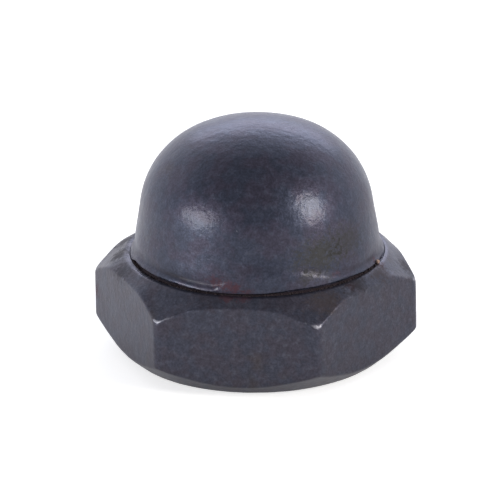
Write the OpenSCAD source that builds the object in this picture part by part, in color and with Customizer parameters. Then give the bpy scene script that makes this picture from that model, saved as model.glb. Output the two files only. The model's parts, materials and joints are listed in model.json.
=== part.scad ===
// Cap nut: a thin hexagon nut with a dome-shaped cap of drawn sheet steel.
// The foot of the cap stands in a shallow round recess in the top of the nut.
// The origin is the middle of the nut's seat, with +Z through the crown.

/* [Hexagon nut] */
// Width across the flats
across_flats = 17; // [16.4:0.1:20]
// How much of each upright corner is worn and turned off, on the radius
corner_cut = 0.08; // [0.02:0.01:0.4]
// Height of the hexagon, from its seat to its top face
nut_h = 6.2; // [5:0.1:9]
// Radius of the flat ring that the nut seats on
seat_r = 7.65; // [6.8:0.05:8.4]
// Slope of the lower chamfer, in degrees from level
seat_chamfer = 40; // [20:1:50]
// Slope of the upper chamfer, in degrees from level
top_chamfer = 36.5; // [20:0.5:45]
// Width of the flat ring between the recess and the upper chamfer
land_w = 0.17; // [0.02:0.01:0.4]

/* [Thread] */
// Nominal diameter of the thread
thread_d = 10; // [8:0.5:11]
// Pitch of the thread
thread_pitch = 1.5; // [0.75:0.25:1.75]
// Diameter of the countersink at the seat
mouth_d = 10.4; // [10:0.1:12]
// Width of the small chamfer at the inner end of the thread
thread_end_chamfer = 0.4; // [0.1:0.05:0.8]

/* [Cap] */
// Outside diameter of the cap's rim
rim_d = 15.1; // [14:0.1:15.9]
// Height of the crown above the top face of the nut
cap_h = 8.2; // [7.6:0.1:11]
// Thickness of the sheet
cap_wall = 0.8; // [0.4:0.05:1.5]
// Lean of the cap's side towards the axis, in degrees
side_lean = 9; // [3:0.5:12]
// Outside radius of the shoulder between side and crown
shoulder_r = 5.4; // [3:0.1:6]
// Outside radius of the crown
crown_r = 10.1; // [9:0.1:14]

/* [Rim and seam] */
// Thickness of the turned-out lip round the rim
lip_t = 0.36; // [0.2:0.02:0.6]
// How far the lip stands out from the side of the cap
lip_out = 0.05; // [0.02:0.01:0.3]
// Open height between the nut's top face and the lip
lip_rise = 0.18; // [0.02:0.01:0.4]
// Open width between the lip and the wall of the recess
seam_gap = 0.1; // [0.05:0.01:0.3]
// Depth of the recess that the cap stands in
recess_depth = 0.9; // [0.3:0.1:2]
// How far the foot of the cap is set in from the lip
foot_set_in = 0.2; // [0.1:0.05:0.35]

/* [Hidden] */
$fn = 96;

// Cutters run past the faces they cut by this much
cut_past = 1;

// A 60 degree thread leaves 5/8 of its sharp height on each side
minor_r = thread_d / 2 - 5 / 8 * thread_pitch * cos(30);
across_corners = across_flats / cos(30);
corner_r = across_corners / 2 - corner_cut;

rim_r = rim_d / 2;
recess_r = rim_r + seam_gap;
recess_z = nut_h - recess_depth;
land_r = recess_r + land_w;

// Side of the cap at the level of the nut's top face
side_r = rim_r - lip_out;
foot_r = rim_r - foot_set_in;
cap_top = nut_h + cap_h;

// Outward and upward directions of the leaning side
side_out = [cos(side_lean), sin(side_lean)];
side_up = [-sin(side_lean), cos(side_lean)];

// The crown's centre lies on the axis. The shoulder touches the crown from
// inside and the side from inside, so its centre is found from both.
crown_c = [0, cap_top - crown_r];
shoulder_start = [side_r, nut_h] - shoulder_r * side_out;
to_start = shoulder_start - crown_c;
along = to_start * side_up;
apart = to_start * to_start - pow(crown_r - shoulder_r, 2);
shoulder_c = shoulder_start + (sqrt(along * along - apart) - along) * side_up;

// Unit direction from the crown's centre through the shoulder's centre
blend_dir = (shoulder_c - crown_c) / norm(shoulder_c - crown_c);

// Radius of the side's face at a level, at a depth inside the outer face
function side_at(z, inset) = side_r - (z - nut_h) * tan(side_lean) - inset / cos(side_lean);

// Section through the dome at a depth inside its outer face, from the given
// level up to the crown
module dome_section(inset, from_z) {
    shoulder = shoulder_r - inset;
    crown = crown_r - inset;
    side_top = shoulder_c + shoulder * side_out;
    crown_end = crown_c + crown * blend_dir;
    intersection() {
        union() {
            polygon([
                [0, from_z], [side_at(from_z, inset), from_z], side_top, shoulder_c,
                crown_end, [0, crown_end[1]],
            ]);
            translate(shoulder_c) circle(r = shoulder);
            intersection() {
                translate(crown_c) circle(r = crown);
                translate([0, crown_end[1]]) square([crown_end[0], crown]);
            }
        }
        translate([0, from_z]) square([side_r + rim_r, cap_top]);
    }
}

// Rounded lip that turns out round the rim
module lip_section() {
    lip_z = nut_h + lip_rise;
    translate([rim_r - lip_t / 2, lip_z + lip_t / 2]) circle(d = lip_t);
    translate([0, lip_z]) square([rim_r - lip_t / 2, lip_t]);
}

// Straight foot that reaches down from the lip to the floor of the recess
module foot_section() {
    translate([0, recess_z]) square([foot_r, recess_depth + lip_rise + lip_t / 2]);
}

// Outline that the hexagon is turned to: its two chamfers and its corners
module turned_section() {
    polygon([
        [0, 0],
        [seat_r, 0],
        [corner_r, (corner_r - seat_r) * tan(seat_chamfer)],
        [corner_r, nut_h - (corner_r - land_r) * tan(top_chamfer)],
        [land_r, nut_h],
        [0, nut_h],
    ]);
}

module hex_nut() {
    mouth_h = mouth_d / 2 - minor_r;
    color([0.25, 0.25, 0.29])
    difference() {
        intersection() {
            cylinder(h = nut_h, d = across_corners, $fn = 6);
            rotate_extrude() turned_section();
        }
        translate([0, 0, -cut_past]) cylinder(h = nut_h + 2 * cut_past, r = minor_r);
        // Countersink at the seat
        translate([0, 0, -cut_past])
            cylinder(h = mouth_h + cut_past, r1 = minor_r + mouth_h + cut_past, r2 = minor_r);
        // Chamfer at the inner end of the thread
        translate([0, 0, recess_z - thread_end_chamfer])
            cylinder(
                h = thread_end_chamfer + cut_past,
                r1 = minor_r, r2 = minor_r + thread_end_chamfer + cut_past
            );
        // Recess that the cap stands in
        translate([0, 0, recess_z]) cylinder(h = recess_depth + cut_past, r = recess_r);
    }
}

module dome_cap() {
    color([0.27, 0.28, 0.33])
    rotate_extrude()
    difference() {
        union() {
            dome_section(0, nut_h + lip_rise);
            lip_section();
            foot_section();
        }
        dome_section(cap_wall, recess_z - cut_past);
    }
}

hex_nut();
dome_cap();
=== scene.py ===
"""Looks for a low cap nut: black-oxide steel, lightly worn, with rust at the seam.

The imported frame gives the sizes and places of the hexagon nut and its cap. This
script stands a detailed, worn mesh in the place of each solid, packs the seam with
dirt and grains of rust, and sets a pale studio round them.

A bearing, in degrees, is measured round the nut's axis from -Y towards +X. The
direction of a column of the nut's mesh, in radians, is measured from +X towards +Y.
"""

import json
import logging
import math
from dataclasses import dataclass, field
from enum import Enum

import bpy
import numpy as np
from mathutils import Matrix, Vector, noise


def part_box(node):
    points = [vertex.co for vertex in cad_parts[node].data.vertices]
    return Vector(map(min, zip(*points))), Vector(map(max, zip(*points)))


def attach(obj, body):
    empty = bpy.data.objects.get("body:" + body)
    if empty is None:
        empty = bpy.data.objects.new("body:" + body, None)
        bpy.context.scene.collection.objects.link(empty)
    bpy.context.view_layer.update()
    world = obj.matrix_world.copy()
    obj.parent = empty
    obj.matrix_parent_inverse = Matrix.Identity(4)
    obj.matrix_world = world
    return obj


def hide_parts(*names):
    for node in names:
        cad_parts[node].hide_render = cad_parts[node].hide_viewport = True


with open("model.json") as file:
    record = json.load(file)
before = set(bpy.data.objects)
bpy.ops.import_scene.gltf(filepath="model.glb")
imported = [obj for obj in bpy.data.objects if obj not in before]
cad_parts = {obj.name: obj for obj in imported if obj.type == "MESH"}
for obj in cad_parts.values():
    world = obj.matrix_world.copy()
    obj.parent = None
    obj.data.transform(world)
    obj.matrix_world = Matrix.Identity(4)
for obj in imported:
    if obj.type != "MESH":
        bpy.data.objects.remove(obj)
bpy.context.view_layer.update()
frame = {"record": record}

MM = 0.001
# How far the cap and its recess stand off the nut's axis, in millimetres
CAP_ASIDE = (0.15, 0.0)
Colour = tuple[float, float, float]

log = logging.getLogger("cap_nut")


class SectionCorner(Enum):
    """Corners of the nut's section, in order from the thread's mouth outwards."""

    MOUTH = 0
    SEAT = 1
    FLAT_LOW = 2
    FLAT_HIGH = 3
    LAND = 4
    RECESS_EDGE = 5
    RECESS_FOOT = 6
    THREAD_END = 7


class Kind(Enum):
    """Kinds of socket that the node groups take and give."""

    GEOMETRY = "NodeSocketGeometry"
    VECTOR = "NodeSocketVector"
    COLOUR = "NodeSocketColor"
    FLOAT = "NodeSocketFloat"
    INT = "NodeSocketInt"


@dataclass
class Wiring:
    """Adds nodes to one node tree and joins their sockets."""

    tree: bpy.types.NodeTree

    def add(self, kind: str, feeds: dict | None = None, **settings: object) -> bpy.types.Node:
        """Adds a node.

        Args:
            kind: Blender's name for the kind of node.
            feeds: For each input, by name or number, a socket to join or a plain value.
            **settings: The node's own settings, set before its inputs.

        Returns:
            The new node.
        """
        node = self.tree.nodes.new(kind)
        for name, value in settings.items():
            setattr(node, name, value)
        for key, value in (feeds or {}).items():
            self.feed(node.inputs[key], value)
        return node

    def feed(self, socket: bpy.types.NodeSocket, value: object) -> None:
        """Joins a socket to a node's input, or sets the input to a plain value."""
        if isinstance(value, bpy.types.NodeSocket):
            self.tree.links.new(value, socket)
        else:
            socket.default_value = value

    def math(self, operation: str, *values: object) -> bpy.types.NodeSocket:
        """Adds a maths node and returns its result."""
        feeds = dict(enumerate(values))
        return self.add("ShaderNodeMath", feeds, operation=operation).outputs[0]

    def plus(self, first: object, second: object) -> bpy.types.NodeSocket:
        """Adds two numbers."""
        return self.math("ADD", first, second)

    def minus(self, first: object, second: object) -> bpy.types.NodeSocket:
        """Takes the second number from the first."""
        return self.math("SUBTRACT", first, second)

    def times(self, first: object, second: object) -> bpy.types.NodeSocket:
        """Multiplies two numbers."""
        return self.math("MULTIPLY", first, second)

    def over(self, first: object, second: object) -> bpy.types.NodeSocket:
        """Divides the first number by the second."""
        return self.math("DIVIDE", first, second)

    def vector(self, operation: str, *values: object) -> bpy.types.NodeSocket:
        """Adds a vector maths node and returns the vector that it gives."""
        feeds = dict(enumerate(values))
        return self.add("ShaderNodeVectorMath", feeds, operation=operation).outputs[0]

    def measure(self, operation: str, *values: object) -> bpy.types.NodeSocket:
        """Adds a vector maths node and returns the number that it gives."""
        feeds = dict(enumerate(values))
        return self.add("ShaderNodeVectorMath", feeds, operation=operation).outputs["Value"]

    def named(self, name: str, kind: str) -> bpy.types.NodeSocket:
        """Reads a stored attribute in a geometry tree."""
        kind_of_node = "GeometryNodeInputNamedAttribute"
        return self.add(kind_of_node, {"Name": name}, data_type=kind).outputs[0]

    def parts(self, vector: bpy.types.NodeSocket) -> bpy.types.NodeOutputs:
        """Splits a vector into its X, Y and Z."""
        return self.add("ShaderNodeSeparateXYZ", {"Vector": vector}).outputs

    def noise(
        self, where: object, scale: object, detail: float, rough: float = 0.5
    ) -> bpy.types.NodeSocket:
        """Adds a noise pattern.

        Args:
            where: The point to read the pattern at.
            scale: Waves to the metre.
            detail: How many finer layers are added.
            rough: How strong each finer layer is.

        Returns:
            The height of the pattern, from 0 to 1.
        """
        feeds = {"Vector": where, "Scale": scale, "Detail": detail, "Roughness": rough}
        return self.add("ShaderNodeTexNoise", feeds).outputs[0]

    def ramp(
        self, value: object, low: object, high: object, start: float = 0.0, end: float = 1.0
    ) -> bpy.types.NodeSocket:
        """Eases from one number to another as a value goes from low to high.

        Args:
            value: The value.
            low: The value at which the result is start.
            high: The value at which the result is end.
            start: The result at low and beyond it.
            end: The result at high and beyond it.

        Returns:
            The eased number.
        """
        feeds = {"Value": value, "From Min": low, "From Max": high, "To Min": start, "To Max": end}
        node = self.add("ShaderNodeMapRange", feeds, interpolation_type="SMOOTHSTEP")
        return node.outputs["Result"]

    def blend(self, share: object, first: object, second: object) -> bpy.types.NodeSocket:
        """Mixes two colours by a share and returns the result."""
        feeds = {0: share, 6: first, 7: second}
        return self.add("ShaderNodeMix", feeds, data_type="RGBA").outputs[2]


def new_group(
    tree_type: str,
    name: str,
    takes: dict[Kind, tuple[str, ...]],
    gives: dict[Kind, tuple[str, ...]],
) -> Wiring:
    """Starts a node group.

    Args:
        tree_type: Blender's name for the type of tree, for shaders or for geometry.
        name: The group's name.
        takes: The names of the inputs of each kind.
        gives: The names of the outputs of each kind.

    Returns:
        The wiring of the empty group.
    """
    tree = bpy.data.node_groups.new(name, tree_type)
    for side, sockets in (("INPUT", takes), ("OUTPUT", gives)):
        for kind, names in sockets.items():
            for socket in names:
                tree.interface.new_socket(name=socket, in_out=side, socket_type=kind.value)
    return Wiring(tree)


def emptied(owner: bpy.types.Material | bpy.types.World) -> Wiring:
    """Gives a material or a world an empty node tree.

    Args:
        owner: The material or the world.

    Returns:
        The wiring of its tree.
    """
    owner.use_nodes = True
    owner.node_tree.nodes.clear()
    return Wiring(owner.node_tree)


def rgba(colour: Colour) -> tuple[float, float, float, float]:
    """Adds a full alpha to a colour."""
    return (*colour, 1.0)


def mottle_group() -> bpy.types.NodeTree:
    """Builds the blotches and fine grain of an oxide skin.

    Returns:
        A group that takes a point, three colours and the sizes of the pattern, and gives
        out the skin's colour, its roughness and the height of its grain.
    """
    scales = ("Patch Scale", "Fleck Scale", "Grain Scale")
    takes = {
        Kind.VECTOR: ("Point",),
        Kind.COLOUR: ("Cool", "Violet", "Warm", "Pale"),
        Kind.FLOAT: ("Warm Share", *scales, "Roughness", "Roughness Spread"),
    }
    gives = {Kind.COLOUR: ("Colour",), Kind.FLOAT: ("Roughness", "Height")}
    sheet = new_group("ShaderNodeTree", "oxide_mottle", takes, gives)
    given = sheet.add("NodeGroupInput").outputs
    point = given["Point"]
    patch = sheet.noise(point, given["Patch Scale"], 3.0, 0.55)
    elsewhere = sheet.vector("ADD", point, (0.031, 0.017, 0.023))
    hue_scale = sheet.times(given["Patch Scale"], 2.2)
    hue = sheet.noise(elsewhere, hue_scale, 3.0, 0.6)
    fleck = sheet.noise(point, given["Fleck Scale"], 3.0, 0.5)
    grain = sheet.noise(point, given["Grain Scale"], 2.0, 0.6)
    warm_from = sheet.minus(0.62, given["Warm Share"])
    warm_to = sheet.plus(warm_from, 0.22)
    skin = sheet.blend(sheet.ramp(hue, 0.4, 0.6), given["Cool"], given["Violet"])
    skin = sheet.blend(sheet.ramp(patch, warm_from, warm_to), skin, given["Warm"])
    skin = sheet.blend(sheet.ramp(fleck, 0.5, 0.85), skin, given["Pale"])
    fine = sheet.ramp(grain, 0.25, 0.75, 0.76, 1.24)
    coarser = sheet.ramp(fleck, 0.3, 0.7, 0.88, 1.12)
    feeds = {"Vector": skin, "Scale": sheet.times(fine, coarser)}
    skin = sheet.add("ShaderNodeVectorMath", feeds, operation="SCALE").outputs[0]
    uneven = sheet.plus(sheet.times(fleck, 0.6), sheet.times(hue, 0.4))
    spread = sheet.times(sheet.minus(uneven, 0.5), given["Roughness Spread"])
    rough = sheet.plus(given["Roughness"], spread)
    coarse = sheet.times(fleck, 0.8)
    height = sheet.plus(sheet.times(grain, 0.2), coarse)
    sheet.add("NodeGroupOutput", {"Colour": skin, "Roughness": rough, "Height": height})
    return sheet.tree


def wear_group() -> bpy.types.NodeTree:
    """Builds the broken edge of a worn place.

    Returns:
        A group that takes a point, how worn the surface is there and the size of the
        breaks, and gives out a mask.
    """
    takes = {Kind.VECTOR: ("Point",), Kind.FLOAT: ("Wear", "Break Scale")}
    sheet = new_group("ShaderNodeTree", "worn_edge", takes, {Kind.FLOAT: ("Mask",)})
    given = sheet.add("NodeGroupInput").outputs
    breaks = sheet.noise(given["Point"], given["Break Scale"], 4.0, 0.6)
    offset = sheet.times(sheet.minus(breaks, 0.5), 1.1)
    mask = sheet.ramp(sheet.plus(given["Wear"], offset), 0.42, 0.85)
    sheet.add("NodeGroupOutput", {"Mask": mask})
    return sheet.tree


def stain_group() -> bpy.types.NodeTree:
    """Builds one blotch of rust round a place.

    Returns:
        A group that takes a point, the middle of the blotch, its reach and its strength,
        and gives out a mask.
    """
    takes = {Kind.VECTOR: ("Point", "Middle"), Kind.FLOAT: ("Reach", "Strength")}
    sheet = new_group("ShaderNodeTree", "rust_stain", takes, {Kind.FLOAT: ("Mask",)})
    given = sheet.add("NodeGroupInput").outputs
    apart = sheet.vector("SUBTRACT", given["Point"], given["Middle"])
    flat = sheet.vector("MULTIPLY", apart, (1.0, 1.0, 1.7))
    share = sheet.over(sheet.measure("LENGTH", flat), given["Reach"])
    ragged = sheet.noise(given["Point"], 4200.0, 4.0, 0.75)
    ragged = sheet.times(sheet.minus(ragged, 0.5), 3.2)
    share = sheet.plus(share, ragged)
    mask = sheet.times(sheet.ramp(share, 1.1, 0.1), given["Strength"])
    sheet.add("NodeGroupOutput", {"Mask": mask})
    return sheet.tree


@dataclass(frozen=True)
class RustStain:
    """One blotch of rust or dirt, in millimetres from the middle of the nut's seat."""

    bearing: float
    radius: float
    height: float
    reach: float
    strength: float
    colour: Colour = (0.1, 0.031, 0.036)

    def middle(self) -> tuple[float, float, float]:
        """The middle of the blotch, in metres."""
        turn = math.radians(self.bearing)
        return (
            self.radius * math.sin(turn) * MM,
            -self.radius * math.cos(turn) * MM,
            self.height * MM,
        )


@dataclass(frozen=True)
class OxideFinish:
    """Black oxide on steel: a dark satin skin with blotches, worn edges and rust, and a crease darkened
    with dirt and painted shade.
    """

    name: str
    cool: Colour
    violet: Colour
    warm: Colour
    pale: Colour
    warm_share: float
    patch_scale: float
    roughness: float
    roughness_spread: float
    grain_depth: float
    stains: tuple[RustStain, ...] = ()
    bare: Colour = (0.26, 0.26, 0.3)
    # The colour of the crease's dirt, which also stands for painted shade in the crease
    dirt: Colour = (0.028, 0.024, 0.027)
    grazing: Colour = (0.93, 0.93, 1.0)
    metallic: float = 0.8
    oil: float = 0.45
    oil_roughness: float = 0.2
    # How much rougher full dirt, the crease's dirt and painted shade included, makes the skin, and what
    # share of the oil a full stain hides
    dirt_roughness: float = 0.3
    oil_covered: float = 0.85
    break_scale: float = 2100.0
    fleck_scale: float = 2600.0
    grain_scale: float = 7800.0

    def material(self, groups: "FinishGroups") -> bpy.types.Material:
        """Builds the material.

        Args:
            groups: The shared shader groups.

        Returns:
            The finished material.
        """
        made = bpy.data.materials.new(self.name)
        sheet = emptied(made)
        point = sheet.add("ShaderNodeTexCoord").outputs["Object"]
        feeds = {
            "Point": point,
            "Cool": rgba(self.cool),
            "Violet": rgba(self.violet),
            "Warm": rgba(self.warm),
            "Pale": rgba(self.pale),
            "Warm Share": self.warm_share,
            "Patch Scale": self.patch_scale,
            "Fleck Scale": self.fleck_scale,
            "Grain Scale": self.grain_scale,
            "Roughness": self.roughness,
            "Roughness Spread": self.roughness_spread,
        }
        skin = sheet.add("ShaderNodeGroup", feeds, node_tree=groups.mottle).outputs
        wear = sheet.add("ShaderNodeAttribute", attribute_name="wear").outputs["Fac"]
        feeds = {"Point": point, "Wear": wear, "Break Scale": self.break_scale}
        worn = sheet.add("ShaderNodeGroup", feeds, node_tree=groups.wear).outputs["Mask"]
        colour = sheet.blend(worn, skin["Colour"], rgba(self.bare))
        # The crease is painted darker with dirt and painted shade, and there it loses its oil and grows
        # rougher
        crease_shade_and_dirt = sheet.add("ShaderNodeAttribute", attribute_name="crease_shade_and_dirt").outputs["Fac"]
        colour = sheet.blend(crease_shade_and_dirt, colour, rgba(self.dirt))
        rough = sheet.plus(skin["Roughness"], sheet.times(crease_shade_and_dirt, self.dirt_roughness))
        oil = sheet.times(self.oil, sheet.minus(1.0, crease_shade_and_dirt))
        for stain in self.stains:
            feeds = {
                "Point": point,
                "Middle": stain.middle(),
                "Reach": stain.reach * MM,
                "Strength": stain.strength,
            }
            mask = sheet.add("ShaderNodeGroup", feeds, node_tree=groups.stain).outputs["Mask"]
            colour = sheet.blend(mask, colour, rgba(stain.colour))
            rough = sheet.plus(rough, sheet.times(mask, self.dirt_roughness))
            covered = sheet.times(mask, self.oil_covered)
            oil = sheet.times(oil, sheet.minus(1.0, covered))
        feeds = {"Height": skin["Height"], "Strength": 1.0, "Distance": self.grain_depth * MM}
        bump = sheet.add("ShaderNodeBump", feeds).outputs["Normal"]
        feeds = {
            "Base Color": colour,
            "Metallic": self.metallic,
            "Specular Tint": rgba(self.grazing),
            "Coat Weight": oil,
            "Coat Roughness": self.oil_roughness,
            "Coat Normal": bump,
            "Roughness": rough,
            "Normal": bump,
        }
        shader = sheet.add("ShaderNodeBsdfPrincipled", feeds)
        sheet.add("ShaderNodeOutputMaterial", {"Surface": shader.outputs[0]})
        return made


@dataclass(frozen=True)
class RustFinish:
    """Loose, crumbly rust: matt, from tan to dark red-brown."""

    name: str
    dark: Colour
    light: Colour
    crumb_scale: float = 3200.0
    crumb_depth: float = 0.02
    tan_share: float = 0.45
    roughness: float = 0.9

    def material(self) -> bpy.types.Material:
        """Builds the material.

        Returns:
            The finished material.
        """
        made = bpy.data.materials.new(self.name)
        sheet = emptied(made)
        point = sheet.add("ShaderNodeTexCoord").outputs["Object"]
        crumb = sheet.noise(point, self.crumb_scale, 3.0)
        tan = sheet.add("ShaderNodeAttribute", attribute_name="tan").outputs["Fac"]
        share = sheet.plus(crumb, sheet.times(tan, self.tan_share))
        colour = sheet.blend(sheet.ramp(share, 0.72, 1.0), rgba(self.dark), rgba(self.light))
        feeds = {"Height": crumb, "Strength": 0.6, "Distance": self.crumb_depth * MM}
        bump = sheet.add("ShaderNodeBump", feeds).outputs["Normal"]
        feeds = {"Base Color": colour, "Roughness": self.roughness, "Normal": bump}
        shader = sheet.add("ShaderNodeBsdfPrincipled", feeds)
        sheet.add("ShaderNodeOutputMaterial", {"Surface": shader.outputs[0]})
        return made


@dataclass
class FinishGroups:
    """The shader groups that more than one finish uses, each built once."""

    mottle: bpy.types.NodeTree = field(default_factory=mottle_group)
    wear: bpy.types.NodeTree = field(default_factory=wear_group)
    stain: bpy.types.NodeTree = field(default_factory=stain_group)


def new_object(name: str, mesh: bpy.types.Mesh) -> bpy.types.Object:
    """Links a mesh to the scene as an object at the origin.

    Args:
        name: The object's name.
        mesh: Its mesh.

    Returns:
        The object.
    """
    made = bpy.data.objects.new(name, mesh)
    bpy.context.scene.collection.objects.link(made)
    return made


def set_wear(mesh: bpy.types.Mesh, wear: np.ndarray) -> None:
    """Stores how worn each point of a mesh is, from 0 to 1."""
    layer = mesh.attributes.new("wear", "FLOAT", "POINT")
    layer.data.foreach_set("value", np.clip(wear, 0.0, 1.0).astype(np.float32))


def points_of(mesh: bpy.types.Mesh) -> np.ndarray:
    """The points of a mesh, in millimetres."""
    return np.array([v.co[:] for v in mesh.vertices]) / MM


def move_points(mesh: bpy.types.Mesh, points: np.ndarray) -> None:
    """Moves the points of a mesh to new places, in millimetres."""
    mesh.vertices.foreach_set("co", (points * MM).astype(np.float32).ravel())
    mesh.update()


def closed_ring(name: str, points: np.ndarray, rows: int) -> bpy.types.Mesh:
    """Joins closed sections round the axis into one closed mesh.

    Args:
        name: The mesh's name.
        points: The points of each section in turn, in millimetres.
        rows: How many points a section has.

    Returns:
        The mesh, in metres.
    """
    index = np.arange(len(points)).reshape(-1, rows)
    beside = np.roll(index, -1, axis=0)
    corners = [index, beside, np.roll(beside, -1, axis=1), np.roll(index, -1, axis=1)]
    faces = np.stack(corners, axis=2).reshape(-1, 4)
    made = bpy.data.meshes.new(name)
    made.from_pydata((points * MM).tolist(), [], faces.tolist())
    made.update()
    return made


def noise_at(points: np.ndarray, size: float, seed: int) -> np.ndarray:
    """Reads smooth noise at many points.

    Args:
        points: One row of x, y and z for each point, in millimetres.
        size: The width of the noise's waves, in millimetres.
        seed: Which of many patterns to read.

    Returns:
        A value from about -1 to 1 for each point.
    """
    shift = Vector((17.3 * seed, -9.1 * seed, 5.7 * seed))
    return np.array([noise.noise(Vector(p) / size + shift) for p in points])


def near(distance: np.ndarray, width: float) -> np.ndarray:
    """A soft bump that is 1 at distance 0 and has faded at a few widths."""
    return np.exp(-((distance / width) ** 2))


def towards(start: np.ndarray, end: np.ndarray, step: np.ndarray | float) -> np.ndarray:
    """Goes a step from each start towards its end."""
    apart = end - start
    return start + apart / np.linalg.norm(apart, axis=-1)[:, None] * np.reshape(step, (-1, 1))


def round_corner(
    before: np.ndarray,
    place: np.ndarray,
    after: np.ndarray,
    cut: np.ndarray | float,
    steps: int,
) -> list[np.ndarray]:
    """Rounds a corner of a section, in each direction at once.

    Args:
        before: The corner before it, one row of radius and height for each direction.
        place: The corner itself.
        after: The corner after it.
        cut: How far from the corner the curve starts and ends.
        steps: How many points the curve has.

    Returns:
        The points of the curve, each of them one row for each direction.
    """
    start, end = towards(place, before, cut), towards(place, after, cut)
    shares = np.linspace(0.0, 1.0, steps)
    return [(1 - s) ** 2 * start + 2 * s * (1 - s) * place + s**2 * end for s in shares]


def from_axis(bearing: np.ndarray, radius: float, aside: tuple[float, float]) -> np.ndarray:
    """Measures how far a circle that stands off the nut's axis is from it.

    Args:
        bearing: The direction of each column.
        radius: The circle's radius.
        aside: Where the middle of the circle is.

    Returns:
        The distance from the axis to the circle in each direction.
    """
    ahead = aside[0] * np.cos(bearing) + aside[1] * np.sin(bearing)
    across = aside[0] * np.sin(bearing) - aside[1] * np.cos(bearing)
    return ahead + np.sqrt(radius**2 - across**2)


@dataclass(frozen=True)
class EdgeWear:
    """How worn an edge of the nut is: all along it, on the arcs beside its tips, and at them."""

    along: float
    beside_tips: float = 0.0
    at_tips: float = 0.0


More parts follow.
